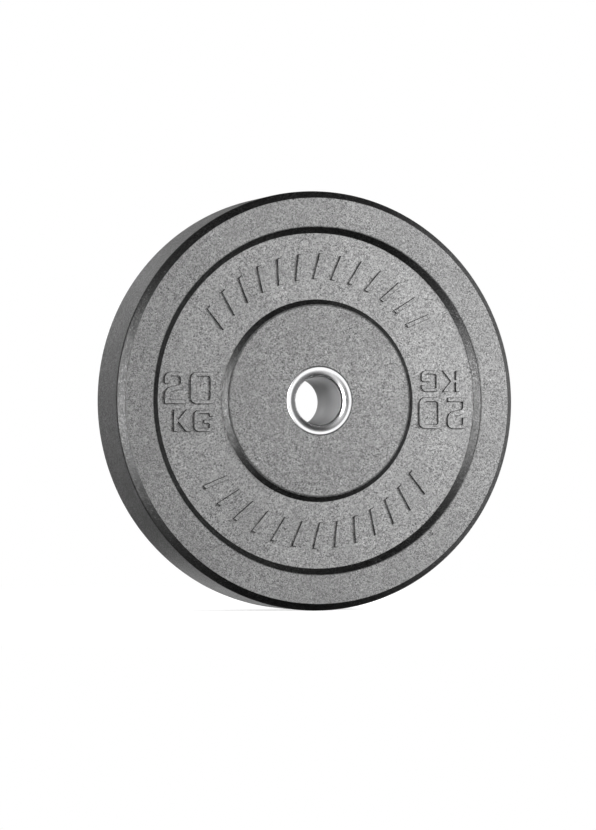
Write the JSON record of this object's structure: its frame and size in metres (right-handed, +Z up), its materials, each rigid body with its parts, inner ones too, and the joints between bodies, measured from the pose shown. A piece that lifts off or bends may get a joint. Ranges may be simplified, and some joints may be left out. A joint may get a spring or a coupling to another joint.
{
  "type": "bumper plate",
  "caption": "Moulded rubber-crumb barbell bumper plate with a recessed ring of raised marks on both faces and a flared steel bore insert.",
  "frame": {"origin": "centre of the plate, on the bore axis and on the middle plane between the two faces", "axes": "+Y along the bore axis towards the rear face, the front face looks towards -Y, +Z is up and the plate stands on its tread"},
  "size_m": [0.45, 0.086, 0.45],
  "materials": {
    "crumb_rubber": "dusty grey-black bonded crumb with a fine bright and dark grain, smoother and darker on the tread and bevels",
    "polished_steel": "polished turned stainless steel",
    "sleeve_steel": "satin drawn steel tube",
    "anchor_steel": "plain mill-finish plate, hidden in the rubber"
  },
  "bodies": {
    "root": {"rubber_body": "crumb_rubber", "hub_sleeve": "sleeve_steel", "front_lip_ring": "polished_steel", "rear_lip_ring": "polished_steel", "front_anchor_disc": "anchor_steel", "rear_anchor_disc": "anchor_steel"}
  },
  "joints": []
}
